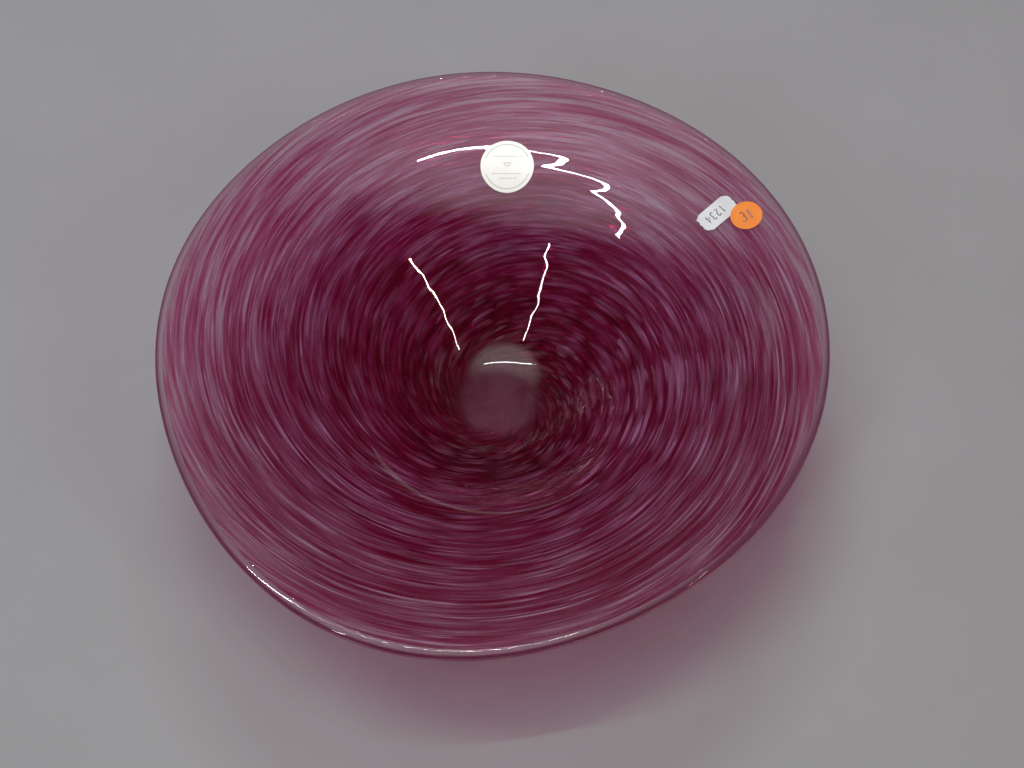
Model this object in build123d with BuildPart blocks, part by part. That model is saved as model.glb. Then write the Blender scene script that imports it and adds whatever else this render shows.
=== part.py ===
from build123d import *
import os
from math import cos, exp, pi, radians, sin

# A wide, out-of-round blown glass bowl in four fused layers, with three paper labels stuck inside.
# Millimetres, +Z up. The origin is the centre of the ground foot, on the plane that it stands on.

# The inside of the bowl, as a profile of (radius, height) from the flat floor to the flared rim.
FLOOR_RADIUS = 12
FLOOR_HEIGHT = 9.0
INSIDE_PROFILE = [
    (FLOOR_RADIUS, FLOOR_HEIGHT),
    (22, 9.5),
    (35, 13.6),
    (50, 24.5),
    (70, 42.8),
    (100, 65.0),
    (125, 76.9),
    (150, 85.0),
    (180, 91.4),
]
RIM_SLOPE = 10.5  # degrees above level, where the wall meets the lip
RIM_RADIUS = INSIDE_PROFILE[-1][0]

# How far the blown wall strays from a turned shape, at the rim. Each lobe or wave is a number of
# them round the rim, a size, and the angle in degrees that sets where they lie.
RIM_LOBES = [(2, 1.87, 121), (3, 1.93, 28), (4, 0.91, -69), (5, 0.67, 163)]
RIM_WAVES = [(2, 1.3, 35), (3, 0.7, -70)]
RIM_OFF_CENTRE = -3.3  # the rim's centre, along X from the foot's centre

# Thicknesses of glass, measured square to the inside face.
WALL = 4.7
BASE_EXTRA = 13.0  # more glass gathered over the foot, fading outwards
BASE_EXTRA_RADIUS = 38
INNER_CASING = 1.2
OPAL = 0.3
RUBY = 0.8
COLOUR_STOPS_SHORT = 5.0  # the coloured layers end this far inside the rim's centre line
LIP_RADIUS = 2.9  # the fire-polished lip is a round bead, a little thicker than the wall

# The polished hollow where the pontil rod was broken off.
PONTIL_RADIUS = 22
PONTIL_DEPTH = 1.2

# Paper labels: each lies on the inside face, at a radius and an angle round the bowl.
PAPER = 0.15
GLUE = 0.03  # the film of glue that holds a label just off the glass
MAKER_LABEL_RADIUS = 16
MAKER_LABEL_PLACE = (122.5, 86.8)
DOT_RADIUS = 9.1
DOT_PLACE = (162.9, 28.0)
PRICE_LABEL_LENGTH = 24.0
PRICE_LABEL_WIDTH = 13.2
PRICE_LABEL_CORNER = 3.2
PRICE_LABEL_PLACE = (151.0, 32.2)
PRICE_LABEL_TURN = 37.5  # its long side, seen from above, in degrees from X
LABEL_CUTTER = 8  # half the height of the prism that cuts a label out of a sheet of paper

# How finely the blown surfaces are drawn.
RING_POINTS = 24
RINGS = 30
BEAD_STEPS = 4  # rings in each quarter of the lip's bead
PROFILE_STEPS = 1000  # places tried along the profile when a label's is looked for

# Past the rim, the space over the bowl flares on and turns up to a level top. Each step is how far
# outwards, the share of the rise to the top, and how much of the rim's waves is left.
ABOVE_THE_BOWL = 125
FLARE_STEPS = [(7, 0.05, 1), (14, 0.14, 0.8), (20, 0.3, 0.5), (24, 0.5, 0.2), (26, 0.75, 0), (26, 1, 0)]

with BuildLine() as inside_profile:
    rim_direction = (cos(radians(RIM_SLOPE)), sin(radians(RIM_SLOPE)))
    Spline(*INSIDE_PROFILE, tangents=[(1, 0), rim_direction])


def out_of_round(radius, angle):
    """How far a blown wall point moves outwards and upwards from a turned shape."""
    growth = ((radius - FLOOR_RADIUS) / (RIM_RADIUS - FLOOR_RADIUS)) ** 3
    outwards = sum(size * cos(lobes * angle - radians(at)) for lobes, size, at in RIM_LOBES)
    upwards = sum(size * cos(lobes * angle - radians(at)) for lobes, size, at in RIM_WAVES)
    return growth * outwards, growth * upwards


def wall_point(radius, height, angle, waviness=1.0):
    """One point of the blown wall, from its radius and height on the turned profile."""
    outwards, upwards = out_of_round(radius, angle)
    shift = RIM_OFF_CENTRE * (radius / RIM_RADIUS) ** 2
    x = shift + (radius + outwards) * cos(angle)
    y = (radius + outwards) * sin(angle)
    return Vector(x, y, height + waviness * upwards)


def ring(radius, height, waviness=1.0):
    """A closed smooth ring round the bowl."""
    angles = [2 * pi * i / RING_POINTS for i in range(RING_POINTS)]
    points = [wall_point(radius, height, angle, waviness) for angle in angles]
    return Wire([Edge.make_spline(points, periodic=True)])


def profile_point(along, depth):
    """The profile's point at a share of its length, moved into the glass by a depth."""
    face = inside_profile.line @ along
    run = inside_profile.line % along
    return face.X + run.Y * depth, face.Y - run.X * depth


def space_above(depth_at):
    """All the space above the inside face after it is sunk into the glass by depth_at(radius)."""
    rings = []
    for i in range(RINGS + 1):
        along = i / RINGS
        radius = (inside_profile.line @ along).X
        rings.append(ring(*profile_point(along, depth_at(radius))))
    edge_radius, edge_height = profile_point(1, depth_at(RIM_RADIUS))
    rise = ABOVE_THE_BOWL - edge_height
    for out, up, waviness in FLARE_STEPS:
        rings.append(ring(edge_radius + out, edge_height + up * rise, waviness))
    return Solid.make_loft(rings)


def full_depth(radius):
    """Thickness of the whole wall, which grows towards the base."""
    return WALL + BASE_EXTRA * exp(-((radius / BASE_EXTRA_RADIUS) ** 2))


def at_depth(depth):
    """The same depth into the glass everywhere."""
    return lambda radius: depth


def rim_column(inset):
    """A tall column whose outline is the rim's centre line seen from above, drawn in by an inset."""
    angles = [2 * pi * i / RING_POINTS for i in range(RING_POINTS)]
    points = [wall_point(RIM_RADIUS, 0, angle, 0) for angle in angles]
    centre = Vector(RIM_OFF_CENTRE, 0, 0)
    share = 1 - inset / RIM_RADIUS
    with BuildPart() as column:
        with BuildSketch():
            with BuildLine():
                Spline(*[centre + (point - centre) * share for point in points], periodic=True)
            make_face()
        extrude(amount=ABOVE_THE_BOWL)
    return column.part


def lip_bead():
    """The round bead of the lip, as a closed tube made of four lofted quarters."""
    lip_radius, lip_height = profile_point(1, WALL / 2)
    quarters = []
    for quarter in range(4):
        rings = []
        for step in range(BEAD_STEPS + 1):
            turn = (quarter + step / BEAD_STEPS) * pi / 2
            rings.append(ring(lip_radius + LIP_RADIUS * cos(turn), lip_height + LIP_RADIUS * sin(turn)))
        quarters += Shell.make_loft(rings).faces()
    return Solid(Shell(quarters))


def label_plane(place, turn=0.0):
    """A plane that touches the inside face at a (radius, angle) place, with its X turned from +X."""
    radius, angle = place[0], radians(place[1])
    places = [i / PROFILE_STEPS for i in range(PROFILE_STEPS + 1)]
    nearest = min(places, key=lambda along: abs((inside_profile.line @ along).X - radius))
    height = (inside_profile.line @ nearest).Y
    run = inside_profile.line % nearest
    square_to_glass = (-run.Y * cos(angle), -run.Y * sin(angle), run.X)
    x_direction = (cos(radians(turn)), sin(radians(turn)), 0)
    return Plane(origin=wall_point(radius, height, angle), x_dir=x_direction, z_dir=square_to_glass)


def layer(upper_space, lower_space, column):
    """One sheet between two copies of the inside face, sunk or raised, and inside a column."""
    with BuildPart() as sheet:
        add(lower_space)
        add(upper_space, mode=Mode.SUBTRACT)
        add(column, mode=Mode.INTERSECT)
    return sheet


space_above_inside = space_above(at_depth(0))
space_above_opal = space_above(at_depth(INNER_CASING))
space_above_ruby = space_above(at_depth(INNER_CASING + OPAL))
space_under_ruby = space_above(at_depth(INNER_CASING + OPAL + RUBY))
space_above_outside = space_above(full_depth)
colour_column = rim_column(COLOUR_STOPS_SHORT)

# Clear inner casing: the gather that lines the bowl.
inner_casing = layer(space_above_inside, space_above_opal, colour_column)
inner_casing.part.label = "clear_inner_casing"

# Opal layer: lilac-white chips rolled on and drawn out, sealed between clear and ruby.
opal_layer = layer(space_above_opal, space_above_ruby, colour_column)
opal_layer.part.label = "opal_streak_layer"

# Ruby layer: the coloured gather.
ruby_layer = layer(space_above_ruby, space_under_ruby, colour_column)
ruby_layer.part.label = "ruby_layer"

# Clear outer casing: the last gather, which makes the outside, the thick foot and the rolled lip.
with BuildPart() as inner_layers:
    add(space_under_ruby)
    add(colour_column, mode=Mode.INTERSECT)
with BuildPart() as outer_casing:
    add(space_above_outside)
    add(space_above_inside, mode=Mode.SUBTRACT)
    add(rim_column(0), mode=Mode.INTERSECT)
    pontil_sphere_radius = (PONTIL_RADIUS**2 + PONTIL_DEPTH**2) / (2 * PONTIL_DEPTH)
    with Locations((0, 0, PONTIL_DEPTH - pontil_sphere_radius)):
        Sphere(pontil_sphere_radius, mode=Mode.SUBTRACT)
    add(lip_bead())
    add(inner_layers.part, mode=Mode.SUBTRACT)
outer_casing.part.label = "clear_outer_casing"

# Paper labels: pieces cut out of sheets that lie on the inside face.
space_above_glue = space_above(at_depth(-GLUE))
space_above_paper = space_above(at_depth(-GLUE - PAPER))
space_above_price_label = space_above(at_depth(-2 * GLUE - PAPER))
space_above_dot = space_above(at_depth(-2 * GLUE - 2 * PAPER))

with BuildPart() as maker_column:
    with BuildSketch(label_plane(MAKER_LABEL_PLACE)):
        Circle(MAKER_LABEL_RADIUS)
    extrude(amount=LABEL_CUTTER, both=True)
maker_label = layer(space_above_paper, space_above_glue, maker_column.part)
maker_label.part.label = "maker_label"

with BuildPart() as price_column:
    with BuildSketch(label_plane(PRICE_LABEL_PLACE, PRICE_LABEL_TURN)):
        Rectangle(PRICE_LABEL_LENGTH, PRICE_LABEL_WIDTH)
        chamfer(vertices(), PRICE_LABEL_CORNER)
    extrude(amount=LABEL_CUTTER, both=True)
price_label = layer(space_above_paper, space_above_glue, price_column.part)
price_label.part.label = "price_label"

# The dot is stuck over the end of the price label, so it lies one paper higher.
with BuildPart() as dot_column:
    with BuildSketch(label_plane(DOT_PLACE)):
        Circle(DOT_RADIUS)
    extrude(amount=LABEL_CUTTER, both=True)
number_dot = layer(space_above_dot, space_above_price_label, dot_column.part)
number_dot.part.label = "number_dot"

pieces = [outer_casing, ruby_layer, opal_layer, inner_casing, maker_label, price_label, number_dot]
os.makedirs("parts", exist_ok=True)
for piece in pieces:
    export_step(piece.part, "parts/" + piece.part.label + ".step")
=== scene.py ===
from math import cos, pi, radians, sin

import bpy
import numpy as np
from mathutils import Matrix, Vector


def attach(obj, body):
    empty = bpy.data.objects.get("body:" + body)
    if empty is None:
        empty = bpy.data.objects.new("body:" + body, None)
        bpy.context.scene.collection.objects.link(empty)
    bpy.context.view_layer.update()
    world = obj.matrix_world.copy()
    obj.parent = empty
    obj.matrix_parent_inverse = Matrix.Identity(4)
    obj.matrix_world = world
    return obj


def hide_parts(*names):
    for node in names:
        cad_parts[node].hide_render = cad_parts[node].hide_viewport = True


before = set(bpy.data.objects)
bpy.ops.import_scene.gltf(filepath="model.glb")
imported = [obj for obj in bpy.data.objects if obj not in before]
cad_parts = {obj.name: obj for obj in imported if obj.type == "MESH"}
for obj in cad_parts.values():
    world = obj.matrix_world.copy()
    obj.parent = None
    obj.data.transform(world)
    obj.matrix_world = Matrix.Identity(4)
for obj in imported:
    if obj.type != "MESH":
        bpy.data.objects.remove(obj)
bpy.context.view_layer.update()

# --- Camera ----------------------------------------------------------------------------------------
# The bowl is looked into from the front, about two thirds of the way up to straight down, with a
# normal lens, so that the whole rim just fits.
LOOK_AT = (0.0082, -0.0220, 0.0679)
CAMERA_ELEVATION = radians(60.5)
CAMERA_DISTANCE = 0.7818
lens = bpy.data.cameras.new("camera")
lens.lens = 50
lens.sensor_width = 36
camera = bpy.data.objects.new("camera", lens)
camera.location = (
    LOOK_AT[0],
    LOOK_AT[1] - CAMERA_DISTANCE * cos(CAMERA_ELEVATION),
    LOOK_AT[2] + CAMERA_DISTANCE * sin(CAMERA_ELEVATION),
)
camera.rotation_euler = (pi / 2 - CAMERA_ELEVATION, 0, 0)
bpy.context.scene.collection.objects.link(camera)
bpy.context.scene.camera = camera

# --- Clear outer casing ----------------------------------------------------------------------------
# The last gather of clear glass. It makes the whole outside, the thick ground foot with its polished
# pontil hollow, and the fire-polished lip, and it carries the coloured layers on its inner side.
MM = 0.001
FLOOR_RADIUS = 12
FLOOR_HEIGHT = 9.0
INSIDE_PROFILE = [
    (12, 9.0), (22, 9.5), (35, 13.6), (50, 24.5), (70, 42.8),
    (100, 65.0), (125, 76.9), (150, 85.0), (180, 91.4),
]
RIM_RADIUS = 180
RIM_SLOPE = radians(10.5)
RIM_LOBES = [(2, 1.87, 121), (3, 1.93, 28), (4, 0.91, -69), (5, 0.67, 163)]
RIM_WAVES = [(2, 1.3, 35), (3, 0.7, -70)]
RIM_OFF_CENTRE = -3.3
WALL = 4.7
BASE_EXTRA = 13.0
BASE_EXTRA_RADIUS = 38
INNER_CASING = 1.2
OPAL = 0.3
RUBY = 0.8
COLOUR_EDGE = 179
LIP_RADIUS = 2.9
SWELL_START = 170
CROWN_START = 177.5
CROWN_RADIUS = 9.0
CROWN_TURN = radians(25)
PONTIL_RADIUS = 22
PONTIL_DEPTH = 1.2
FOOT_ROUNDING = 0.45
AROUND = 360


def clamped_spline(points, start_slope, end_slope):
    """Slopes at the points of a smooth curve through them, for cubic pieces between them."""
    x, y = np.array(points, float).T
    gap, rise = np.diff(x), np.diff(y)
    count = len(x)
    matrix, right = np.zeros((count, count)), np.zeros(count)
    matrix[0, 0] = matrix[-1, -1] = 1
    right[0], right[-1] = start_slope, end_slope
    for i in range(1, count - 1):
        matrix[i, i - 1] = 1 / gap[i - 1]
        matrix[i, i] = 2 / gap[i - 1] + 2 / gap[i]
        matrix[i, i + 1] = 1 / gap[i]
        right[i] = 3 * (rise[i - 1] / gap[i - 1] ** 2 + rise[i] / gap[i] ** 2)
    return x, y, np.linalg.solve(matrix, right)


PROFILE_X, PROFILE_Y, PROFILE_SLOPE = clamped_spline(INSIDE_PROFILE, 0.0, np.tan(RIM_SLOPE))


def inside_height(radius):
    """Height and slope of the bowl's inside, in mm, at a radius in mm."""
    r = np.maximum(np.asarray(radius, float), FLOOR_RADIUS)
    i = np.clip(np.searchsorted(PROFILE_X, r) - 1, 0, len(PROFILE_X) - 2)
    x0, x1, y0, y1 = PROFILE_X[i], PROFILE_X[i + 1], PROFILE_Y[i], PROFILE_Y[i + 1]
    s0, s1 = PROFILE_SLOPE[i], PROFILE_SLOPE[i + 1]
    gap = x1 - x0
    t = (r - x0) / gap
    a = s0 * gap - (y1 - y0)
    b = -s1 * gap + (y1 - y0)
    height = (1 - t) * y0 + t * y1 + t * (1 - t) * ((1 - t) * a + t * b)
    slope = (y1 - y0 + (1 - 2 * t) * (a * (1 - t) + b * t) + t * (1 - t) * (b - a)) / gap
    return height, np.where(np.asarray(radius) < FLOOR_RADIUS, 0.0, slope)


def section_point(radius, depth):
    """A point of the turned section: the inside face at a radius, sunk into the glass by a depth."""
    height, slope = inside_height(radius)
    length = np.hypot(1, slope)
    return radius + depth * slope / length, height - depth / length


# Turning marks: the mm from one to the next, how many start round the bowl, and their height in mm.
TURNING_MARKS = ((9.3, 5, 0.012), (15.7, 4, 0.022), (4.6, 17, 0.0025))
MARKS_STRONGEST_AT = radians(58)


def ripple(radius, angle, seed):
    """Faint spiral tool marks that turning leaves in blown glass, in mm."""
    marks = 0
    stronger = 1 + 0.8 * np.cos(angle - MARKS_STRONGEST_AT)
    for pitch, starts, size in TURNING_MARKS:
        wander = 1.6 * np.sin(2 * angle + seed + pitch) + 0.9 * np.sin(5 * angle + 2 * seed)
        wave = np.sin(2 * pi * radius / pitch + starts * angle + wander + seed * pitch)
        marks = marks + size * stronger * wave
    clear_of_foot = np.clip((radius - 26) / 20, 0, 1)
    clear_of_lip = np.clip((178 - radius) / 8, 0.15, 1)
    return marks * clear_of_foot * clear_of_lip


def blown(radius, height, angle):
    """A point of the turned section, put where the blown, out-of-round wall has it, in metres."""
    growth = np.clip((radius - FLOOR_RADIUS) / (RIM_RADIUS - FLOOR_RADIUS), 0, None) ** 3
    outwards = sum(size * np.cos(lobes * angle - radians(at)) for lobes, size, at in RIM_LOBES)
    upwards = sum(size * np.cos(lobes * angle - radians(at)) for lobes, size, at in RIM_WAVES)
    x = RIM_OFF_CENTRE * (radius / RIM_RADIUS) ** 2 + (radius + growth * outwards) * np.cos(angle)
    y = (radius + growth * outwards) * np.sin(angle)
    return np.stack([x, y, height + growth * upwards], -1) * MM


def blown_shell(name, section, marks=(), around=AROUND):
    """A closed shell from a section that runs from the axis to the axis: (radius, height, slot)."""
    angle = np.linspace(0, 2 * pi, around, endpoint=False)
    rows = []
    for i, (radius, height, slot) in enumerate(section[1:-1], 1):
        rise = 0
        for first, last, seed, size in marks:
            if first <= i < last:
                rise = size * ripple(radius, angle, seed)
        rows.append(blown(np.full(around, radius), height + rise, angle))
    verts = [blown(0.0, section[0][1], 0.0)[None], *rows, blown(0.0, section[-1][1], 0.0)[None]]
    verts = np.concatenate(verts)
    faces, slots = [], []
    last = len(verts) - 1
    for j in range(around):
        k = (j + 1) % around
        faces.append((0, 1 + j, 1 + k))
        slots.append(section[1][2])
        for i in range(len(rows) - 1):
            a, b = 1 + i * around, 1 + (i + 1) * around
            faces.append((a + j, b + j, b + k, a + k))
            slots.append(section[i + 2][2])
        a = 1 + (len(rows) - 1) * around
        faces.append((a + j, last, a + k))
        slots.append(section[-1][2])
    mesh = bpy.data.meshes.new(name)
    mesh.from_pydata(verts.tolist(), [], faces)
    mesh.polygons.foreach_set("material_index", slots)
    mesh.polygons.foreach_set("use_smooth", [True] * len(faces))
    mesh.update()
    piece = bpy.data.objects.new(name, mesh)
    bpy.context.scene.collection.objects.link(piece)
    return piece


def face_rows(depth_at, start, end, step, slot):
    """Section points along the inside face sunk by depth_at(radius), from one radius to another."""
    count = max(2, int(abs(end - start) / step) + 1)
    radii = np.linspace(start, end, count)
    return [(*section_point(r, depth_at(r)), slot) for r in radii]


def full_depth(radius):
    """Thickness of the whole wall, which grows towards the base."""
    return WALL + BASE_EXTRA * np.exp(-((radius / BASE_EXTRA_RADIUS) ** 2))


def lip_swell(radius):
    """How much thicker the wall grows on each side as it runs into the rounded lip."""
    t = np.clip((radius - SWELL_START) / (RIM_RADIUS - SWELL_START), 0, 1)
    return (LIP_RADIUS - WALL / 2) * t * t * (3 - 2 * t)


def lip_face(radius):
    """How deep the inside face lies: it swells a little near the lip, then rounds over its crown."""
    over = np.clip(radius - CROWN_START, 0, None)
    return over * over / (2 * CROWN_RADIUS) - lip_swell(radius)


def material(name):
    """A new material with an empty node tree and its output node."""
    made = bpy.data.materials.new(name)
    made.use_nodes = True
    made.node_tree.nodes.clear()
    return made, made.node_tree, made.node_tree.nodes.new("ShaderNodeOutputMaterial")


def node(tree, kind, settings=None, **inputs):
    """A shader node with its settings, and inputs given as numbers, colours or other sockets."""
    made = tree.nodes.new("ShaderNode" + kind)
    for key, value in (settings or {}).items():
        setattr(made, key, value)
    for key, value in inputs.items():
        key = key.replace("_", " ")
        socket = made.inputs[int(key[1:])] if key[0] == "i" and key[1:].isdigit() else made.inputs[key]
        if isinstance(value, bpy.types.NodeSocket):
            tree.links.new(value, socket)
        else:
            socket.default_value = value
    return made


def maths(tree, operation, *values, clamp=False):
    """A Math node's result."""
    made = tree.nodes.new("ShaderNodeMath")
    made.operation = operation
    made.use_clamp = clamp
    for socket, value in zip(made.inputs, values):
        if isinstance(value, bpy.types.NodeSocket):
            tree.links.new(value, socket)
        else:
            socket.default_value = value
    return made.outputs[0]


def polished_glass(name, tint, shadow_tint, scuffs):
    """Fire-polished glass against air. Lamps shine through it, losing a little to its tint."""
    made, tree, out = material(name)
    where = node(tree, "TexCoord").outputs["Object"]
    smears = node(tree, "TexNoise", Vector=where, Scale=22.0, Detail=5.0, Roughness=0.6).outputs["Fac"]
    roughness = maths(tree, "MULTIPLY", maths(tree, "SUBTRACT", smears, 0.55, clamp=True), scuffs)
    glass = node(tree, "BsdfPrincipled", Base_Color=tint, Roughness=roughness, IOR=1.5)
    glass.inputs["Transmission Weight"].default_value = 1.0
    lamp = node(tree, "BsdfTransparent", Color=shadow_tint)
    shadow_ray = node(tree, "LightPath").outputs["Is Shadow Ray"]
    mix = node(tree, "MixShader", i0=shadow_ray, i1=glass.outputs[0], i2=lamp.outputs[0])
    tree.links.new(mix.outputs[0], out.inputs["Surface"])
    return made


def fused_face(name):
    """Where one layer of glass is fused to the next: the same glass on both sides, so nothing shows."""
    made, tree, out = material(name)
    through = node(tree, "BsdfTransparent", Color=(1, 1, 1, 1))
    tree.links.new(through.outputs[0], out.inputs["Surface"])
    return made


clear_glass = polished_glass("clear_glass", (0.96, 0.92, 0.95, 1), (0.86, 0.81, 0.85, 1), 0.05)
fused = fused_face("fused_glass")

colour_depth = INNER_CASING + OPAL + RUBY
section = [(0, FLOOR_HEIGHT - colour_depth, 1)]
section += face_rows(lambda r: colour_depth, 3, COLOUR_EDGE, 6, 1)
section += [(COLOUR_EDGE, section[-1][1] + 0.9, 1)]
section += face_rows(lip_face, COLOUR_EDGE, RIM_RADIUS, 0.25, 3)
lip_r, lip_z = section_point(RIM_RADIUS, WALL / 2)
crown_along = CROWN_START - RIM_RADIUS
edge_along = crown_along + CROWN_RADIUS * sin(CROWN_TURN)
edge_above = LIP_RADIUS - CROWN_RADIUS * (1 - cos(CROWN_TURN))
nose = (edge_above + LIP_RADIUS) / (1 + cos(CROWN_TURN))
rim_turn = radians(17.5)  # how far the crown has turned over where the lip's own rows start
for turn in np.linspace(rim_turn, pi, 30):
    if turn < CROWN_TURN:
        along = crown_along + CROWN_RADIUS * sin(turn)
        above = LIP_RADIUS - CROWN_RADIUS * (1 - cos(turn))
    else:
        along = edge_along + nose * (sin(turn) - sin(CROWN_TURN))
        above = nose * (1 + cos(turn)) - LIP_RADIUS
    r = lip_r + along * cos(RIM_SLOPE) - above * sin(RIM_SLOPE)
    section.append((r, lip_z + along * sin(RIM_SLOPE) + above * cos(RIM_SLOPE), 3))
outside_start = len(section)
outside = face_rows(lambda r: full_depth(r) + lip_swell(r), RIM_RADIUS, 24, 0.8, 0)
section += [point for point in outside if point[1] > FOOT_ROUNDING]
outside_end = len(section)
foot_radius = section[-1][0] - FOOT_ROUNDING
section += [(foot_radius, 0.12, 0), (foot_radius - FOOT_ROUNDING, 0.01, 2), (PONTIL_RADIUS, 0.01, 2)]
pontil_sphere = (PONTIL_RADIUS**2 + PONTIL_DEPTH**2) / (2 * PONTIL_DEPTH)
for r in (20, 17, 13, 9, 5, 0):
    section.append((r, PONTIL_DEPTH - pontil_sphere + np.sqrt(pontil_sphere**2 - r * r), 0))
outer_casing = blown_shell("outer_casing", section, marks=[(outside_start, outside_end, 2.7, 1.8)])
ground_glass = polished_glass("ground_foot", (0.93, 0.90, 0.93, 1), (0.80, 0.76, 0.80, 1), 0.9)
lip_glass = polished_glass("lip_glass", (0.80, 0.46, 0.61, 1), (0.76, 0.46, 0.58, 1), 0.02)
for finish in (clear_glass, fused, ground_glass, lip_glass):
    outer_casing.data.materials.append(finish)
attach(outer_casing, "root")
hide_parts("clear_outer_casing")

# --- Ruby layer ------------------------------------------------------------------------------------
# The coloured gather: gold-ruby glass, sealed in the wall. It is deepest low in the bowl, is stretched
# thin and pale towards the rim, and is almost missing over the foot, where the first gather was.


def swirl_coordinates():
    """A node group with coordinates that run along the spiral of the turned glass, and across it."""
    group = bpy.data.node_groups.new("swirl_coordinates", "ShaderNodeTree")
    for label in ("Tilt", "Along", "Across", "Seed"):
        group.interface.new_socket(label, in_out="INPUT", socket_type="NodeSocketFloat")
    for label, kind in (("Front", "Vector"), ("Back", "Vector"), ("Blend", "Float"), ("Radius", "Float")):
        group.interface.new_socket(label, in_out="OUTPUT", socket_type="NodeSocket" + kind)
    given = group.nodes.new("NodeGroupInput")
    result = group.nodes.new("NodeGroupOutput")
    place = node(group, "SeparateXYZ", Vector=node(group, "TexCoord").outputs["Object"])
    x, y = place.outputs[0], place.outputs[1]
    squares = maths(group, "ADD", maths(group, "MULTIPLY", x, x), maths(group, "MULTIPLY", y, y))
    radius = maths(group, "MULTIPLY", maths(group, "POWER", squares, 0.5), 1000.0)
    front = maths(group, "ARCTAN2", y, x)
    back = maths(group, "ARCTAN2", maths(group, "MULTIPLY", y, -1.0), maths(group, "MULTIPLY", x, -1.0))
    back = maths(group, "ADD", back, pi)
    for turn, label in ((front, "Front"), (back, "Back")):
        along = maths(group, "MULTIPLY", turn, given.outputs["Along"])
        along = maths(group, "ADD", along, given.outputs["Seed"])
        tilted = maths(group, "ADD", radius, maths(group, "MULTIPLY", turn, given.outputs["Tilt"]))
        across = maths(group, "MULTIPLY", tilted, given.outputs["Across"])
        place = node(group, "CombineXYZ", X=along, Y=across, Z=given.outputs["Seed"])
        group.links.new(place.outputs[0], result.inputs[label])
    past_side = maths(group, "SUBTRACT", maths(group, "ABSOLUTE", front), radians(80))
    blend = maths(group, "MULTIPLY", past_side, 1 / radians(20), clamp=True)
    group.links.new(blend, result.inputs["Blend"])
    group.links.new(radius, result.inputs["Radius"])
    return group


swirl = swirl_coordinates()


def swirled(tree, make, tilt, along, across, seed):
    """A pattern laid along the spiral: made for the front half and the back half, and blended."""
    where = tree.nodes.new("ShaderNodeGroup")
    where.node_tree = swirl
    for label, value in (("Tilt", tilt), ("Along", along), ("Across", across), ("Seed", seed)):
        where.inputs[label].default_value = value
    front, back = make(where.outputs["Front"]), make(where.outputs["Back"])
    mixed = node(tree, "Mix", {"data_type": "FLOAT"}, i0=where.outputs["Blend"], i2=front, i3=back)
    return mixed.outputs[0]


def radius_in(tree):
    """Distance from the bowl's axis, as a share of the rim's radius."""
    where = tree.nodes.new("ShaderNodeGroup")
    where.node_tree = swirl
    return maths(tree, "MULTIPLY", where.outputs["Radius"], 1 / RIM_RADIUS)


def threads(tree, tilt, along, across, seed, detail=3.0, wander=0.2):
    """Drawn-out soft threads, about 0.5 on average. Along is in waves a radian, across in waves a mm."""

    def make(vector):
        settings = {"Vector": vector, "Scale": 1.0, "Detail": detail, "Roughness": 0.6, "Distortion": wander}
        return node(tree, "TexNoise", **settings).outputs["Fac"]

    return swirled(tree, make, tilt, along, across, seed)


def flecks(tree, tilt, along, across, seed, size=0.45, share=0.55):
    """Separate drawn-out flecks with soft edges, some stronger than others."""

    def make(vector):
        bend = node(tree, "TexNoise", Vector=vector, Scale=1.7, Detail=2.0).outputs["Color"]
        bend = node(tree, "VectorMath", {"operation": "SCALE"}, i0=bend, i3=0.55).outputs[0]
        vector = node(tree, "VectorMath", {"operation": "ADD"}, i0=vector, i1=bend).outputs[0]
        cells = node(tree, "TexVoronoi", {"voronoi_dimensions": "2D"}, Vector=vector, Scale=1.0)
        soft = maths(tree, "SUBTRACT", size, cells.outputs["Distance"])
        soft = maths(tree, "MULTIPLY", soft, 1 / size, clamp=True)
        chance = node(tree, "SeparateColor", Color=cells.outputs["Color"]).outputs[0]
        chance = maths(tree, "SUBTRACT", chance, 1 - share)
        chance = maths(tree, "MULTIPLY", chance, 1 / share, clamp=True)
        return maths(tree, "MULTIPLY", maths(tree, "POWER", soft, 0.8), chance)

    return swirled(tree, make, tilt, along, across, seed)


def ramp(tree, value, stops):
    """A ColorRamp's colour, from (place, colour) stops."""
    made = node(tree, "ValToRGB", Fac=value)
    elements = made.color_ramp.elements
    elements.remove(elements[1])
    elements[0].position = stops[0][0]
    elements[0].color = (*stops[0][1], 1)
    for at, colour in stops[1:]:
        elements.new(at).color = (*colour, 1)
    return made.outputs["Color"]


def grade(tree, value, stops):
    """A ColorRamp's value, from (place, level) stops."""
    colour = ramp(tree, value, [(at, (level, level, level)) for at, level in stops])
    return node(tree, "SeparateColor", Color=colour).outputs[0]


def patch(tree, x, y, reach):
    """1 at a place over the bowl, in mm, falling softly to 0 at a reach from it."""
    place = node(tree, "SeparateXYZ", Vector=node(tree, "TexCoord").outputs["Object"])
    aside = maths(tree, "POWER", maths(tree, "SUBTRACT", place.outputs[0], x * MM), 2.0)
    away = maths(tree, "POWER", maths(tree, "SUBTRACT", place.outputs[1], y * MM), 2.0)
    far = maths(tree, "POWER", maths(tree, "ADD", aside, away), 0.5)
    near = maths(tree, "SUBTRACT", 1.0, maths(tree, "MULTIPLY", far, 1 / (reach * MM)), clamp=True)
    return node(tree, "MapRange", {"interpolation_type": "SMOOTHSTEP"}, Value=near).outputs[0]


SPIRAL = 13.0  # mm that a streak moves inwards while it runs one radian round
BAND_DEPTH = 1.8
LINE_DEPTH = 5.0
# Where a reflection of the ceiling's soft glow is painted onto the far right wall, in mm.
PAINTED_VEIL_AT = (98, 82)
CRIMSON_AT = (-62, 5)

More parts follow.
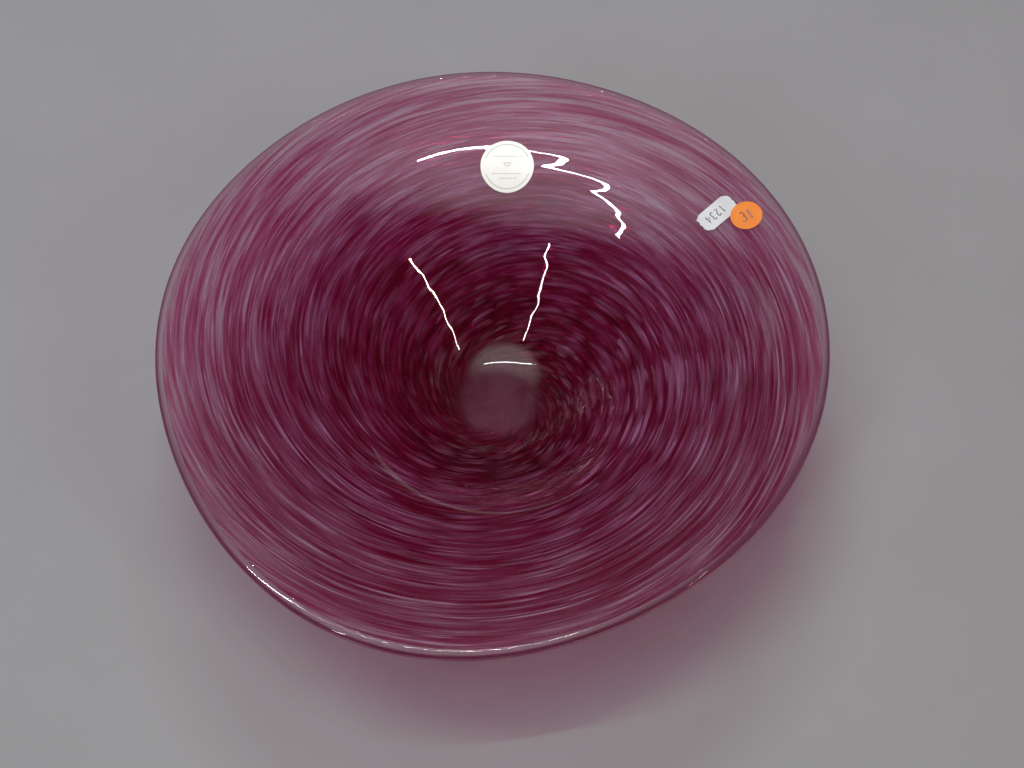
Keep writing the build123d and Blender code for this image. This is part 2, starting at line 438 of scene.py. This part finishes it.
# What the ruby lets through, from the axis (0) to the rim (1).
RUBY_THROUGH = [
    (0.00, (0.69, 0.41, 0.50)),
    (0.10, (0.60, 0.31, 0.42)),
    (0.135, (0.46, 0.12, 0.22)),
    (0.19, (0.46, 0.04, 0.16)),
    (0.33, (0.52, 0.03, 0.18)),
    (0.45, (0.59, 0.05, 0.23)),
    (0.58, (0.65, 0.09, 0.30)),
    (0.68, (0.69, 0.14, 0.37)),
    (0.80, (0.72, 0.19, 0.39)),
    (0.90, (0.77, 0.26, 0.46)),
    (1.00, (0.84, 0.38, 0.56)),
]
ruby_glass, tree, out = material("ruby_glass")
reach = radius_in(tree)
base = ramp(tree, reach, RUBY_THROUGH)
bands = threads(tree, SPIRAL, 1.6, 0.11, 3.1, 3.0)
lines = threads(tree, SPIRAL, 3.6, 0.56, 8.4, 2.0)
bands = maths(tree, "MULTIPLY", bands, BAND_DEPTH)
lines = maths(tree, "MULTIPLY", lines, LINE_DEPTH)
strength = maths(tree, "ADD", maths(tree, "ADD", bands, lines), -(BAND_DEPTH + LINE_DEPTH) / 2)
strength = maths(tree, "MAXIMUM", strength, -0.75)
strength = maths(tree, "MULTIPLY", strength, grade(tree, reach, [(0.11, 0.15), (0.20, 1.0)]))
strength = maths(tree, "ADD", strength, 1.05)
# Painted reflection of the ceiling: the ruby is made paler in a patch on the far right wall.
painted_veil = patch(tree, *PAINTED_VEIL_AT, 55)
strength = maths(tree, "SUBTRACT", strength, maths(tree, "MULTIPLY", painted_veil, 0.25))
crimson = patch(tree, *CRIMSON_AT, 75)
strength = maths(tree, "ADD", strength, maths(tree, "MULTIPLY", crimson, 0.15))
rgb = node(tree, "SeparateColor", Color=base)
deep = [maths(tree, "POWER", rgb.outputs[i], strength) for i in range(3)]
deep = node(tree, "CombineColor", Red=deep[0], Green=deep[1], Blue=deep[2]).outputs[0]
through = node(tree, "BsdfTransparent", Color=deep)
back_glow = node(tree, "BsdfTranslucent", Color=(0.34, 0.003, 0.05, 1))
front_glow = node(tree, "BsdfDiffuse", Color=(0.34, 0.003, 0.05, 1))
ember = node(tree, "MixShader", i0=0.6, i1=back_glow.outputs[0], i2=front_glow.outputs[0])
mix = node(tree, "MixShader", i0=0.13, i1=through.outputs[0], i2=ember.outputs[0])
tree.links.new(mix.outputs[0], out.inputs["Surface"])


def colour_shell(name, top_depth, thickness):
    """A sealed layer of coloured glass: its upper face carries the colour."""
    section = [(0, FLOOR_HEIGHT - top_depth, 0)]
    section += face_rows(lambda r: top_depth, 3, COLOUR_EDGE - 0.3, 2, 0)
    section += face_rows(lambda r: top_depth + thickness, COLOUR_EDGE - 0.3, 3, 4, 1)
    section += [(0, FLOOR_HEIGHT - top_depth - thickness, 1)]
    return blown_shell(name, section, around=240)


ruby_layer = colour_shell("ruby_gather", INNER_CASING + OPAL + 0.05, RUBY - 0.1)
ruby_layer.data.materials.append(ruby_glass)
ruby_layer.data.materials.append(fused)
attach(ruby_layer, "root")
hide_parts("ruby_layer")

# --- Opal streaks ----------------------------------------------------------------------------------
# Lilac-white opal chips, rolled onto the hot ruby and drawn out as the bowl was spun open: short
# flecks low down, long fine threads near the rim. They scatter light, so they look milky.
PURPLE_AT = (70, -32)
opal_glass, tree, out = material("opal_streaks")
reach = radius_in(tree)
outer = grade(tree, reach, [(0.40, 0.1), (0.75, 1.0)])
inner = grade(tree, reach, [(0.14, 0.0), (0.26, 0.8), (0.50, 1.0), (0.80, 0.25), (1.0, 0.1)])
fine = threads(tree, SPIRAL, 2.9, 0.80, 21.0, 2.0)
fine = grade(tree, fine, [(0.51, 0.0), (0.67, 1.0)])
mid = threads(tree, SPIRAL, 2.4, 0.55, 24.0, 3.0)
mid = grade(tree, mid, [(0.51, 0.0), (0.66, 1.0)])
wide = threads(tree, SPIRAL, 1.6, 0.12, 27.0, 2.0)
wide = grade(tree, wide, [(0.38, 0.15), (0.62, 1.0)])
short = flecks(tree, SPIRAL * 1.2, 2.6, 0.29, 34.0, 0.5)
tiny = flecks(tree, SPIRAL * 1.2, 4.3, 0.48, 47.0, 0.5)
purple = patch(tree, *PURPLE_AT, 95)
crimson = patch(tree, *CRIMSON_AT, 80)
# Painted reflection of the ceiling: the opal is made a little milkier in the same far right patch.
painted_veil = patch(tree, *PAINTED_VEIL_AT, 62)
specks = maths(tree, "ADD", maths(tree, "MULTIPLY", short, 0.95), maths(tree, "MULTIPLY", tiny, 0.75))
specks = maths(tree, "MULTIPLY", specks, maths(tree, "ADD", maths(tree, "MULTIPLY", fine, 0.7), 0.65))
specks = maths(tree, "MULTIPLY", specks, inner)
crowd = maths(tree, "ADD", 0.78, maths(tree, "MULTIPLY", purple, 0.5))
crowd = maths(tree, "SUBTRACT", crowd, maths(tree, "MULTIPLY", crimson, 0.35))
specks = maths(tree, "MULTIPLY", specks, crowd)
milk = maths(tree, "ADD", maths(tree, "MULTIPLY", fine, 0.74), maths(tree, "MULTIPLY", mid, 0.38))
milk = maths(tree, "MULTIPLY", maths(tree, "MULTIPLY", milk, wide), outer)
milk = maths(tree, "ADD", milk, maths(tree, "MULTIPLY", painted_veil, 0.07))
floor_cloud = node(tree, "TexNoise", Vector=node(tree, "TexCoord").outputs["Object"], Scale=90.0, Detail=4.0)
floor_cloud = grade(tree, floor_cloud.outputs["Fac"], [(0.3, 0.01), (0.7, 0.13)])
floor_cloud = maths(tree, "MULTIPLY", floor_cloud, grade(tree, reach, [(0.11, 1.0), (0.15, 0.0)]))
amount = maths(tree, "ADD", maths(tree, "ADD", specks, milk), floor_cloud, clamp=True)
# The opal's colour, pinker low in the bowl and whiter near the rim.
MILK = [
    (0.15, (0.55, 0.40, 0.48)),
    (0.30, (0.64, 0.19, 0.41)),
    (0.60, (0.66, 0.28, 0.54)),
    (0.90, (0.72, 0.48, 0.64)),
]
milk_colour = ramp(tree, reach, MILK)
scatter = node(tree, "BsdfDiffuse", Color=milk_colour)
glow = node(tree, "BsdfTranslucent", Color=milk_colour)
milky = node(tree, "MixShader", i0=0.5, i1=scatter.outputs[0], i2=glow.outputs[0])
clear = node(tree, "BsdfTransparent", Color=(1, 1, 1, 1))
mix = node(tree, "MixShader", i0=amount, i1=clear.outputs[0], i2=milky.outputs[0])
tree.links.new(mix.outputs[0], out.inputs["Surface"])

opal_layer = colour_shell("opal_streaks", INNER_CASING + 0.05, OPAL - 0.1)
opal_layer.data.materials.append(opal_glass)
opal_layer.data.materials.append(fused)
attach(opal_layer, "root")
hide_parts("opal_streak_layer")

# --- Clear inner casing ----------------------------------------------------------------------------
# The clear glass that lines the bowl, fire-polished, with the faint spiral ripples of its turning.
section = [(0, FLOOR_HEIGHT, 0)]
section += face_rows(lip_face, 2, 172, 0.8, 0)
section += face_rows(lip_face, 172.3, COLOUR_EDGE - 0.02, 0.35, 0)
top_end = len(section)
section += face_rows(lambda r: INNER_CASING, COLOUR_EDGE - 0.02, 3, 5, 1)
section += [(0, FLOOR_HEIGHT - INNER_CASING, 1)]
inner_casing = blown_shell("inner_casing", section, marks=[(1, top_end, 0.6, 1)])
inner_casing.data.materials.append(clear_glass)
inner_casing.data.materials.append(fused)
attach(inner_casing, "root")
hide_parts("clear_inner_casing")

# --- Seed bubbles ----------------------------------------------------------------------------------
# Tiny bubbles of air caught in the clear inner gather and drawn out along the turn of the bowl.
BED_AROUND = 96
BUBBLES_A_SQUARE_METRE = 2200.0
BUBBLE_RADIUS = 0.00038
bubble_bed = face_rows(lambda r: INNER_CASING / 2, 30, 172, 6, 0)
angle = np.linspace(0, 2 * pi, BED_AROUND, endpoint=False)
rows = [blown(np.full(BED_AROUND, r), np.full(BED_AROUND, h), angle) for r, h, _ in bubble_bed]
faces = []
for i in range(len(rows) - 1):
    a, b = i * BED_AROUND, (i + 1) * BED_AROUND
    for j in range(BED_AROUND):
        k = (j + 1) % BED_AROUND
        faces.append((a + j, b + j, b + k, a + k))
bed = bpy.data.meshes.new("bubble_bed")
bed.from_pydata(np.concatenate(rows).tolist(), [], faces)
bubbles = bpy.data.objects.new("seed_bubbles", bed)
bpy.context.scene.collection.objects.link(bubbles)

bubble_air, tree, out = material("bubble_air")
glass = node(tree, "BsdfGlass", Color=(1, 1, 1, 1), Roughness=0.0, IOR=0.6667)
lamp_through = node(tree, "BsdfTransparent", Color=(0.8, 0.8, 0.8, 1))
shadow_ray = node(tree, "LightPath").outputs["Is Shadow Ray"]
mix = node(tree, "MixShader", i0=shadow_ray, i1=glass.outputs[0], i2=lamp_through.outputs[0])
tree.links.new(mix.outputs[0], out.inputs["Surface"])

tree = bpy.data.node_groups.new("scatter_bubbles", "GeometryNodeTree")
socket_ids = {}
for label, kind in (("Bed", "Geometry"), ("Bubbles a square metre", "Float"), ("Bubble radius", "Float")):
    made = tree.interface.new_socket(label, in_out="INPUT", socket_type="NodeSocket" + kind)
    socket_ids[label] = made.identifier
tree.interface.new_socket("Bubbles", in_out="OUTPUT", socket_type="NodeSocketGeometry")


def step(kind, settings=None, **inputs):
    """A geometry node in the bubble tree."""
    made = tree.nodes.new(kind)
    for key, value in (settings or {}).items():
        setattr(made, key, value)
    for key, value in inputs.items():
        socket = made.inputs[key.replace("_", " ")]
        if isinstance(value, bpy.types.NodeSocket):
            tree.links.new(value, socket)
        else:
            socket.default_value = value
    return made


given = tree.nodes.new("NodeGroupInput")
points = step(
    "GeometryNodeDistributePointsOnFaces",
    Mesh=given.outputs["Bed"],
    Density=given.outputs["Bubbles a square metre"],
    Seed=5,
)
outwards = step("ShaderNodeVectorMath", {"operation": "MULTIPLY"})
tree.links.new(step("GeometryNodeInputPosition").outputs[0], outwards.inputs[0])
outwards.inputs[1].default_value = (1, 1, 0)
tangent = step("ShaderNodeVectorMath", {"operation": "CROSS_PRODUCT"})
tree.links.new(outwards.outputs[0], tangent.inputs[0])
tangent.inputs[1].default_value = (0, 0, 1)
turned = step("FunctionNodeAlignRotationToVector", {"axis": "X"}, Vector=tangent.outputs[0])
ball = step("GeometryNodeMeshUVSphere", Segments=8, Rings=5, Radius=given.outputs["Bubble radius"])
stretch = step("FunctionNodeRandomValue", {"data_type": "FLOAT_VECTOR"}, Seed=9)
stretch.inputs["Min"].default_value = (0.9, 0.45, 0.45)
stretch.inputs["Max"].default_value = (3.2, 1.0, 0.9)
copies = step(
    "GeometryNodeInstanceOnPoints",
    Points=points.outputs["Points"],
    Instance=ball.outputs["Mesh"],
    Rotation=turned.outputs[0],
    Scale=stretch.outputs[0],
)
real = step("GeometryNodeRealizeInstances", Geometry=copies.outputs[0])
smooth = step("GeometryNodeSetShadeSmooth", Geometry=real.outputs[0])
finish = step("GeometryNodeSetMaterial", Geometry=smooth.outputs[0], Material=bubble_air)
result = tree.nodes.new("NodeGroupOutput")
tree.links.new(finish.outputs[0], result.inputs[0])
scatterer = bubbles.modifiers.new("bubbles", "NODES")
scatterer.node_group = tree
scatterer[socket_ids["Bubbles a square metre"]] = BUBBLES_A_SQUARE_METRE
scatterer[socket_ids["Bubble radius"]] = BUBBLE_RADIUS
bubbles_mesh = bpy.data.meshes.new_from_object(bubbles.evaluated_get(bpy.context.evaluated_depsgraph_get()))
bubbles.modifiers.remove(scatterer)
bubbles.data = bubbles_mesh
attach(bubbles, "root")

# --- Labels ----------------------------------------------------------------------------------------
# Three paper labels on the inside: a round coated maker's label, a price-gun label with cut ends, and
# an orange dot stuck over its corner. Their marks are printed or written in ink on top.
GLUE = 0.03
PAPER = 0.15
MAKER_LABEL_RADIUS = 16
MAKER_LABEL_PLACE = (122.5, 86.8)
DOT_RADIUS = 9.1
DOT_PLACE = (162.9, 28.0)
PRICE_LABEL_LENGTH = 24.0
PRICE_LABEL_WIDTH = 13.2
PRICE_LABEL_PLACE = (151.0, 32.2)
PRICE_LABEL_TURN = 37.5


def on_glass(x, y, lift):
    """The point over (x, y), in mm, that lies on the inside face, raised off it by a lift."""
    radius, angle = np.hypot(x, y), np.arctan2(y, x)
    for _ in range(6):
        growth = np.clip((radius - FLOOR_RADIUS) / (RIM_RADIUS - FLOOR_RADIUS), 0, None) ** 3
        shift = RIM_OFF_CENTRE * (radius / RIM_RADIUS) ** 2
        angle = np.arctan2(y, x - shift)
        outwards = sum(size * np.cos(lobes * angle - radians(at)) for lobes, size, at in RIM_LOBES)
        radius = np.hypot(x - shift, y) - growth * outwards
    height, slope = inside_height(radius)
    upwards = sum(size * np.cos(lobes * angle - radians(at)) for lobes, size, at in RIM_WAVES)
    rise = lift / np.hypot(1, slope)
    across = x - rise * slope * np.cos(angle)
    back = y - rise * slope * np.sin(angle)
    return np.stack([across, back, height + growth * upwards + rise], -1) * MM


def label_point(place, turn, across, up, lift):
    """A point of a label laid at a (radius, angle) place, at a spot on the flat label, in mm."""
    radius, angle = place[0], radians(place[1])
    centre = blown(radius, inside_height(radius)[0], angle) / MM
    slope = inside_height(radius)[1]
    square = np.array([-slope * cos(angle), -slope * sin(angle), 1]) / np.hypot(1, slope)
    right = np.array([cos(radians(turn)), sin(radians(turn)), 0])
    right = right - square * (right @ square)
    right /= np.linalg.norm(right)
    back = np.cross(square, right)
    spot = centre + np.multiply.outer(across, right) + np.multiply.outer(up, back)
    return on_glass(spot[..., 0], spot[..., 1], lift)


def sticker(name, place, turn, outline, low, high, paper, rings=14):
    """A paper label from its flat outline, in mm round its centre, lying on the glass."""
    outline = np.array(outline)
    count = len(outline)
    verts, faces = [], []
    for lift in (low, high):
        verts.append(label_point(place, turn, np.zeros(1), np.zeros(1), lift))
        for i in range(1, rings + 1):
            spots = outline * (i / rings)
            verts.append(label_point(place, turn, spots[:, 0], spots[:, 1], lift))
    side = 1 + rings * count
    for base, way in ((0, -1), (side, 1)):
        for j in range(count):
            k = (j + 1) % count
            faces.append((base, base + 1 + j, base + 1 + k)[::way])
            for i in range(rings - 1):
                a, b = base + 1 + i * count, base + 1 + (i + 1) * count
                faces.append((a + j, b + j, b + k, a + k)[::way])
    edge = 1 + (rings - 1) * count
    for j in range(count):
        k = (j + 1) % count
        faces.append((edge + j, edge + k, side + edge + k, side + edge + j))
    mesh = bpy.data.meshes.new(name)
    mesh.from_pydata(np.concatenate(verts).tolist(), [], faces)
    mesh.materials.append(paper)
    mesh.update()
    piece = bpy.data.objects.new(name, mesh)
    bpy.context.scene.collection.objects.link(piece)
    return piece


def paper(name, colour, stain, gloss, coat=0.0):
    """Coated or plain paper: faint fibres and stains, and a slightly uneven surface."""
    made, tree, out = material(name)
    where = node(tree, "TexCoord").outputs["Object"]
    fibres = node(tree, "TexNoise", Vector=where, Scale=2600.0, Detail=3.0, Roughness=0.7).outputs["Fac"]
    stains = node(tree, "TexNoise", Vector=where, Scale=140.0, Detail=3.0).outputs["Fac"]
    shade = ramp(tree, stains, [(0.35, stain), (0.62, colour)])
    bump = node(tree, "Bump", Strength=0.25, Distance=0.00004, Height=fibres)
    rough = maths(tree, "ADD", maths(tree, "MULTIPLY", fibres, 0.15), gloss)
    sheet = node(tree, "BsdfPrincipled", Base_Color=shade, Roughness=rough, Normal=bump.outputs[0])
    sheet.inputs["Coat Weight"].default_value = coat
    sheet.inputs["Coat Roughness"].default_value = 0.28
    tree.links.new(sheet.outputs[0], out.inputs["Surface"])
    return made


def ink(name, colour):
    """Ink that has soaked a little unevenly into paper."""
    made, tree, out = material(name)
    where = node(tree, "TexCoord").outputs["Object"]
    uneven = node(tree, "TexNoise", Vector=where, Scale=900.0, Detail=2.0).outputs["Fac"]
    shade = ramp(tree, uneven, [(0.35, colour), (0.75, tuple(0.4 * c + 0.3 for c in colour))])
    layer = node(tree, "BsdfPrincipled", Base_Color=shade, Roughness=0.55)
    tree.links.new(layer.outputs[0], out.inputs["Surface"])
    return made


def ink_marks(name, place, turn, strokes, width, low, finish):
    """Strokes of ink on a label: each is a list of flat points in mm, drawn as a low closed ribbon."""
    verts, faces = [], []
    for stroke in strokes:
        points = np.array(stroke, float)
        closed = np.allclose(points[0], points[-1])
        run = np.gradient(points, axis=0)
        if closed:
            run[0] = run[-1] = points[1] - points[-2]
        run /= np.linalg.norm(run, axis=1)[:, None]
        side = np.stack([-run[:, 1], run[:, 0]], -1) * width / 2
        start = len(verts)
        for lift in (low, low + 0.03):
            for way in (1, -1):
                edge = points + way * side
                verts += label_point(place, turn, edge[:, 0], edge[:, 1], lift).tolist()
        n = len(points)
        a, b, c, d = (start + i * n for i in range(4))
        for i in range(n - 1):
            faces.append((a + i, a + i + 1, b + i + 1, b + i))
            faces.append((c + i, d + i, d + i + 1, c + i + 1))
            faces.append((a + i, c + i, c + i + 1, a + i + 1))
            faces.append((b + i, b + i + 1, d + i + 1, d + i))
        faces.append((a, b, d, c))
        faces.append((a + n - 1, c + n - 1, d + n - 1, b + n - 1))
    mesh = bpy.data.meshes.new(name)
    mesh.from_pydata(verts, [], faces)
    mesh.materials.append(finish)
    mesh.update()
    piece = bpy.data.objects.new(name, mesh)
    bpy.context.scene.collection.objects.link(piece)
    return piece


def arc(x, y, radius, first, last, count=24, squash=1.0):
    """Points round part of a circle or an ellipse."""
    turns = np.radians(np.linspace(first, last, count))
    return [(x + radius * cos(t), y + squash * radius * sin(t)) for t in turns]


grey_ink = ink("grey_ink", (0.52, 0.52, 0.50))
black_ink = ink("black_ink", (0.05, 0.05, 0.06))
red_ink = ink("red_brown_ink", (0.16, 0.025, 0.012))

maker_paper = paper("maker_paper", (0.93, 0.92, 0.87), (0.90, 0.88, 0.80), 0.30, 1.0)
maker_outline = arc(0, 0, MAKER_LABEL_RADIUS - 0.1, 0, 358, 120)
maker_label = sticker("maker_sticker", MAKER_LABEL_PLACE, 0, maker_outline, GLUE, GLUE + PAPER, maker_paper)
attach(maker_label, "root")
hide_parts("maker_label")
rules = [arc(0, 0, 13.6, 20, 160, 60), arc(0, 0, 13.6, 200, 340, 60)]
for height, half in ((6.0, 8.0), (-4.6, 9.0), (-7.4, 5.0)):
    for start in np.arange(-half, half - 0.5, 2.2):
        rules.append([(start, height), (start + 0.8, height + 0.1), (start + 1.5, height)])
rules.append(arc(0, 1.6, 1.6, 180, 360, 16))
rules.append([(-2.4, 1.9), (0, 2.0), (2.4, 1.9)])
maker_print = ink_marks("maker_print", MAKER_LABEL_PLACE, 0, rules, 0.45, GLUE + PAPER - 0.01, grey_ink)
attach(maker_print, "root")

price_paper = paper("price_paper", (0.74, 0.75, 0.78), (0.66, 0.67, 0.69), 0.42)
half_length, half_width = PRICE_LABEL_LENGTH / 2, PRICE_LABEL_WIDTH / 2
# The cut ends, as (how far out in mm, where across the label as a share of its half width).
end_cut = [
    (-0.2, -1.0), (0.55, -0.72), (0.05, -0.45), (0.75, -0.15),
    (0.3, 0.1), (0.7, 0.4), (0.0, 0.7), (-0.2, 1.0),
]
outline = []
for way in (1, -1):
    for out_by, up in end_cut:
        pull = 2.6 * max(0.0, abs(up) - 0.72) / 0.28
        outline.append((way * (half_length - 0.8 + out_by - pull), way * up * half_width))
dense = []
for i, (x0, y0) in enumerate(outline):
    x1, y1 = outline[(i + 1) % len(outline)]
    steps = max(1, int(np.hypot(x1 - x0, y1 - y0) / 0.5))
    dense += [(x0 + (x1 - x0) * t / steps, y0 + (y1 - y0) * t / steps) for t in range(steps)]
price_label = sticker(
    "price_sticker", PRICE_LABEL_PLACE, PRICE_LABEL_TURN, dense, GLUE, GLUE + PAPER, price_paper,
)
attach(price_label, "root")
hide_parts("price_label")

DIGITS = {
    "1": [[(0.3, 0.8), (0.55, 1.0), (0.55, 0.0)]],
    "2": [arc(0.5, 0.72, 0.28, 160, -35, 12) + [(0.2, 0.0), (0.82, 0.0)]],
    "3": [arc(0.48, 0.74, 0.26, 150, -80, 12), arc(0.46, 0.28, 0.30, 80, -150, 12)],
    "4": [[(0.66, 0.0), (0.66, 1.0), (0.18, 0.3), (0.85, 0.3)]],
}


def number(text, x, y, tall, gap, way=1):
    """Strokes of a row of digits, upright or upside down."""
    strokes = []
    for i, digit in enumerate(text):
        for stroke in DIGITS[digit]:
            spots = [((i * gap + 0.62 * tall * u), tall * v) for u, v in stroke]
            strokes.append([(x + way * u, y + way * v) for u, v in spots])
    return strokes


price_print = ink_marks(
    "price_print", PRICE_LABEL_PLACE, PRICE_LABEL_TURN,
    number("1234", 5.4, 2.6, 5.0, 3.4, way=-1), 0.62, GLUE + PAPER - 0.01, black_ink,
)
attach(price_print, "root")

dot_paper = paper("orange_paper", (0.93, 0.27, 0.03), (0.86, 0.23, 0.03), 0.38)
low = 2 * GLUE + PAPER
dot_outline = arc(0, 0, DOT_RADIUS - 0.05, 0, 357, 90)
number_dot = sticker("orange_sticker", DOT_PLACE, 0, dot_outline, low, low + PAPER, dot_paper)
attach(number_dot, "root")
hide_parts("number_dot")
dot_print = ink_marks(
    "dot_print", DOT_PLACE, 24, number("31", -3.9, -3.2, 6.4, 3.9), 0.75, low + PAPER - 0.01, red_ink,
)
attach(dot_print, "root")

# --- Table and light -------------------------------------------------------------------------------
# A plain pale grey table top under long white tubes: one nearly overhead, two in front, and a lamp
# behind that only lights the table. The ceiling glows softly all round them.
TABLE_HALF = 12.0
corners = [(x * TABLE_HALF, y * TABLE_HALF, 0) for x, y in ((-1, -1), (1, -1), (1, 1), (-1, 1))]
table_mesh = bpy.data.meshes.new("table")
table_mesh.from_pydata(corners, [], [(0, 1, 2, 3)])
table = bpy.data.objects.new("table", table_mesh)
table.location = (0, 0, -0.0003)
bpy.context.scene.collection.objects.link(table)
table_top, tree, out = material("table_top")
where = node(tree, "TexCoord").outputs["Object"]
mottle = node(tree, "TexNoise", Vector=where, Scale=7.0, Detail=6.0, Roughness=0.6).outputs["Fac"]
colour = ramp(tree, mottle, [(0.3, (0.300, 0.293, 0.304)), (0.7, (0.322, 0.314, 0.327))])
paint = node(tree, "BsdfPrincipled", Base_Color=colour, Roughness=0.55)
tree.links.new(paint.outputs[0], out.inputs["Surface"])
table_mesh.materials.append(table_top)


def tube(name, start, end, width, radiance, colour=(1, 1, 1)):
    """A straight white tube from one point to another, shining at the bowl."""
    start, end = Vector(start), Vector(end)
    middle = (start + end) / 2
    made = bpy.data.lights.new(name, "AREA")
    made.shape = "RECTANGLE"
    made.size = (end - start).length
    made.size_y = width
    made.energy = pi * radiance * made.size * width
    made.color = colour
    lamp = bpy.data.objects.new(name, made)
    shine = (Vector((0, 0, 0.05)) - middle).normalized()
    run = (end - start).normalized()
    run = (run - shine * run.dot(shine)).normalized()
    turned = Matrix((run, (-shine).cross(run), -shine)).transposed().to_4x4()
    lamp.matrix_world = Matrix.Translation(middle) @ turned
    lamp.visible_camera = False
    bpy.context.scene.collection.objects.link(lamp)
    return lamp


tube("overhead_tube", (0.26, 0.23, 2.0), (-1.05, -0.02, 2.0), 0.032, 82)
tube("right_tube", (1.62, -0.92, 2.0), (2.35, -1.80, 2.0), 0.05, 62, (1, 0.90, 0.72))
tube("left_tube", (-1.08, -1.40, 2.0), (-1.75, -2.25, 2.0), 0.045, 55)

# A lamp well behind the bowl throws its shadow forwards. The glass doesn't mirror it.
back_lamp = tube("back_lamp", (0.55, 1.50, 2.0), (-0.60, 1.45, 2.0), 0.10, 60)
back_lamp.visible_glossy = False
back_lamp.visible_transmission = False

# The white ceiling that the tubes light: a broad soft glow overhead, fading out all round. The dim
# room beyond it is brighter where it is looked at or seen through glass than where it is mirrored.
ROOM = 0.02
ROOM_SEEN = 0.20
CEILING_GLOW = 1.75
CEILING = Vector((-0.12, -0.07, 0.99)).normalized()
world = bpy.data.worlds.new("room")
world.use_nodes = True
tree = world.node_tree
background = tree.nodes["Background"]
background.inputs["Color"].default_value = (0.97, 0.97, 1, 1)
direction = node(tree, "TexCoord").outputs["Generated"]
facing = node(tree, "VectorMath", {"operation": "DOT_PRODUCT"}, i0=direction, i1=CEILING).outputs["Value"]
glow = node(tree, "MapRange", {"interpolation_type": "SMOOTHSTEP"}, Value=facing)
glow.inputs["From Min"].default_value = cos(radians(31))
glow.inputs["From Max"].default_value = cos(radians(11))
path = node(tree, "LightPath")
seen = maths(tree, "ADD", path.outputs["Is Camera Ray"], path.outputs["Is Transmission Ray"], clamp=True)
strength = maths(tree, "ADD", maths(tree, "MULTIPLY", seen, ROOM_SEEN), ROOM)
strength = maths(tree, "ADD", strength, maths(tree, "MULTIPLY", glow.outputs[0], CEILING_GLOW))
tree.links.new(strength, background.inputs["Strength"])
scene = bpy.context.scene
scene.world = world
scene.view_settings.view_transform = "Standard"
scene.cycles.max_bounces = 24
scene.cycles.transparent_max_bounces = 40
scene.cycles.transmission_bounces = 16
scene.cycles.glossy_bounces = 6
scene.cycles.diffuse_bounces = 4
# Lamps already shine straight through the glass, so their light must not arrive a second time.
scene.cycles.caustics_refractive = False
scene.cycles.caustics_reflective = False
